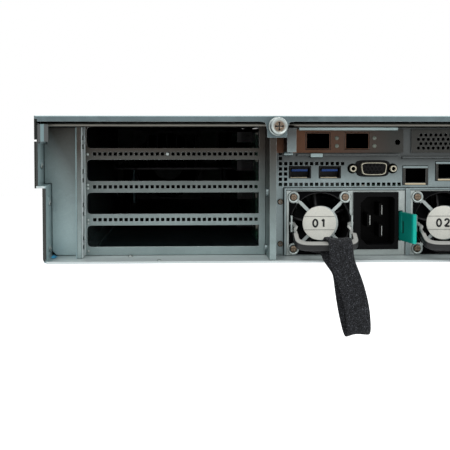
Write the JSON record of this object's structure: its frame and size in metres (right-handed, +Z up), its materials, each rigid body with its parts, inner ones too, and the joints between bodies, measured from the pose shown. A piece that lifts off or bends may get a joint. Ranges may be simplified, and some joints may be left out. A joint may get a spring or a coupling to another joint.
{
  "type": "rack server",
  "caption": "Two-unit rack server with slotted rear card cages, sliding top cover, twin pull-out power supplies with green latches and strapped bail handles, and front drive trays.",
  "frame": {"origin": "centre of the four rack screw slots, in the rear face of the rack ears", "axes": "+X to the right seen from the rear, +Y from the rear to the front, +Z up"},
  "size_m": [0.4826, 0.8127, 0.1295],
  "materials": {
    "zinc_steel": "zinc-plated sheet",
    "cover_steel": "zinc-plated sheet",
    "psu_steel": "zinc-plated sheet",
    "bracket_steel": "bright plated, dark reflection",
    "blank_steel": "perforated plated sheet",
    "turned_steel": "turned and plated",
    "socket_metal": "stamped shell",
    "circuit_board": "green solder mask",
    "cooler_aluminium": "bare fins",
    "black_plastic": "moulded",
    "black_paint": "powder coat",
    "green_plastic": "moulded, teal green",
    "bright_wire": "plated wire",
    "black_fabric": "brushed loop pile",
    "lever_plastic": "moulded"
  },
  "bodies": {
    "chassis": {"chassis_base": "zinc_steel", "cross_beam": "zinc_steel", "left_slot_panel": "zinc_steel", "right_slot_panel": "zinc_steel", "left_card_cage": "zinc_steel", "right_card_cage": "zinc_steel", "left_divider": "zinc_steel", "right_divider": "zinc_steel", "io_panel": "zinc_steel", "psu_bay": "zinc_steel", "drive_cage": "zinc_steel", "fan_bracket": "zinc_steel", "panel_screws": "turned_steel", "card_bracket": "bracket_steel", "sfp_cages": "socket_metal", "slot_cover": "blank_steel", "card_board": "circuit_board", "motherboard": "circuit_board", "riser_boards": "circuit_board", "power_board": "circuit_board", "drive_backplane": "circuit_board", "memory_modules": "circuit_board", "usb_ports": "socket_metal", "vga_port": "socket_metal", "lan_ports": "socket_metal", "cpu_heatsinks": "cooler_aluminium", "fan_housings": "black_plastic", "front_grille": "black_paint", "left_ear": "black_paint", "right_ear": "black_paint"},
    "cover": {"top_cover": "cover_steel"},
    "cover_screw": {"cover_thumbscrew": "turned_steel"},
    "card_latch": {"slot_latch": "cover_steel"},
    "button": {"power_button": "black_plastic"},
    "fan_spin_1": {"fan_rotor_1": "black_plastic"},
    "fan_spin_2": {"fan_rotor_2": "black_plastic"},
    "fan_spin_3": {"fan_rotor_3": "black_plastic"},
    "fan_spin_4": {"fan_rotor_4": "black_plastic"},
    "tray_1": {"drive_tray_1": "black_paint"},
    "lever_1": {"tray_lever_1": "lever_plastic"},
    "tray_2": {"drive_tray_2": "black_paint"},
    "lever_2": {"tray_lever_2": "lever_plastic"},
    "tray_3": {"drive_tray_3": "black_paint"},
    "lever_3": {"tray_lever_3": "lever_plastic"},
    "psu_left": {"psu_left_case": "psu_steel", "psu_left_fan_frame": "black_plastic", "psu_left_inlet": "black_plastic"},
    "psu_left_fan": {"psu_left_rotor": "black_plastic"},
    "psu_left_release": {"psu_left_latch": "green_plastic"},
    "psu_left_handle": {"psu_left_bail": "bright_wire", "psu_left_grip": "black_plastic"},
    "psu_left_tie": {"psu_left_strap": "black_fabric"},
    "psu_right": {"psu_right_case": "psu_steel", "psu_right_fan_frame": "black_plastic", "psu_right_inlet": "black_plastic"},
    "psu_right_fan": {"psu_right_rotor": "black_plastic"},
    "psu_right_release": {"psu_right_latch": "green_plastic"},
    "psu_right_handle": {"psu_right_bail": "bright_wire", "psu_right_grip": "black_plastic"},
    "psu_right_tie": {"psu_right_strap": "black_fabric"}
  },
  "joints": [
    {"name": "cover_slide", "type": "slide", "parent": "chassis", "child": "cover", "axis": [0, -1, 0], "range_m": [0, 0.012]},
    {"name": "cover_screw_turn", "type": "hinge", "parent": "cover", "child": "cover_screw", "pos_m": [-0.0817, -0.76, 0.0372], "axis": [0, 1, 0], "continuous": true},
    {"name": "card_latch_swing", "type": "hinge", "parent": "chassis", "child": "card_latch", "pos_m": [-0.0755, -0.7382, 0.0208], "axis": [1, 0, 0], "range_deg": [0, 75]},
    {"name": "button_press", "type": "slide", "parent": "chassis", "child": "button", "axis": [0, -1, 0], "range_m": [0, 0.0012], "stiffness_N_per_m": 300},
    {"name": "fan_turn_1", "type": "hinge", "parent": "chassis", "child": "fan_spin_1", "pos_m": [-0.156, -0.2024, -0.002], "axis": [0, 1, 0], "continuous": true},
    {"name": "fan_turn_2", "type": "hinge", "parent": "chassis", "child": "fan_spin_2", "pos_m": [-0.052, -0.2024, -0.002], "axis": [0, 1, 0], "continuous": true},
    {"name": "fan_turn_3", "type": "hinge", "parent": "chassis", "child": "fan_spin_3", "pos_m": [0.052, -0.2024, -0.002], "axis": [0, 1, 0], "continuous": true},
    {"name": "fan_turn_4", "type": "hinge", "parent": "chassis", "child": "fan_spin_4", "pos_m": [0.156, -0.2024, -0.002], "axis": [0, 1, 0], "continuous": true},
    {"name": "tray_slide_1", "type": "slide", "parent": "chassis", "child": "tray_1", "axis": [0, 1, 0], "range_m": [0, 0.14]},
    {"name": "lever_swing_1", "type": "hinge", "parent": "tray_1", "child": "lever_1", "pos_m": [-0.0475, 0.006, -0.0337], "axis": [0, 0, 1], "range_deg": [0, 50]},
    {"name": "tray_slide_2", "type": "slide", "parent": "chassis", "child": "tray_2", "axis": [0, 1, 0], "range_m": [0, 0.14]},
    {"name": "lever_swing_2", "type": "hinge", "parent": "tray_2", "child": "lever_2", "pos_m": [-0.0475, 0.006, -0.0061], "axis": [0, 0, 1], "range_deg": [0, 50]},
    {"name": "tray_slide_3", "type": "slide", "parent": "chassis", "child": "tray_3", "axis": [0, 1, 0], "range_m": [0, 0.14]},
    {"name": "lever_swing_3", "type": "hinge", "parent": "tray_3", "child": "lever_3", "pos_m": [-0.0475, 0.006, 0.0215], "axis": [0, 0, 1], "range_deg": [0, 50]},
    {"name": "psu_left_slide", "type": "slide", "parent": "chassis", "child": "psu_left", "axis": [0, -1, 0], "range_m": [0, 0.27]},
    {"name": "psu_left_fan_turn", "type": "hinge", "parent": "psu_left", "child": "psu_left_fan", "pos_m": [-0.05245, -0.723, -0.022], "axis": [0, 1, 0], "continuous": true},
    {"name": "psu_left_latch_press", "type": "hinge", "parent": "psu_left", "child": "psu_left_release", "pos_m": [-0.00345, -0.7348, -0.02385], "axis": [0, 0, -1], "range_deg": [0, 5], "stiffness_Nm_per_rad": 0.4},
    {"name": "psu_left_handle_swing", "type": "hinge", "parent": "psu_left", "child": "psu_left_handle", "pos_m": [-0.05245, -0.7404, -0.022], "axis": [-1, 0, 0], "range_deg": [0, 60]},
    {"name": "psu_left_tie_hang", "type": "hinge", "parent": "psu_left_handle", "child": "psu_left_tie", "pos_m": [-0.04545, -0.76552, -0.03318], "axis": [-1, 0, 0], "range_deg": [-60, 0]},
    {"name": "psu_right_slide", "type": "slide", "parent": "chassis", "child": "psu_right", "axis": [0, -1, 0], "range_m": [0, 0.27]},
    {"name": "psu_right_fan_turn", "type": "hinge", "parent": "psu_right", "child": "psu_right_fan", "pos_m": [0.02455, -0.723, -0.022], "axis": [0, 1, 0], "continuous": true},
    {"name": "psu_right_latch_press", "type": "hinge", "parent": "psu_right", "child": "psu_right_release", "pos_m": [0.07355, -0.7348, -0.02385], "axis": [0, 0, -1], "range_deg": [0, 5], "stiffness_Nm_per_rad": 0.4},
    {"name": "psu_right_handle_swing", "type": "hinge", "parent": "psu_right", "child": "psu_right_handle", "pos_m": [0.02455, -0.7404, -0.022], "axis": [-1, 0, 0], "range_deg": [0, 60]},
    {"name": "psu_right_tie_hang", "type": "hinge", "parent": "psu_right_handle", "child": "psu_right_tie", "pos_m": [0.03155, -0.76552, -0.03318], "axis": [-1, 0, 0], "range_deg": [-60, 0]}
  ],
  "couplings": [
    {"joint": "psu_left_tie_hang", "follows": "psu_left_handle_swing", "ratio": -1},
    {"joint": "psu_right_tie_hang", "follows": "psu_right_handle_swing", "ratio": -1}
  ]
}
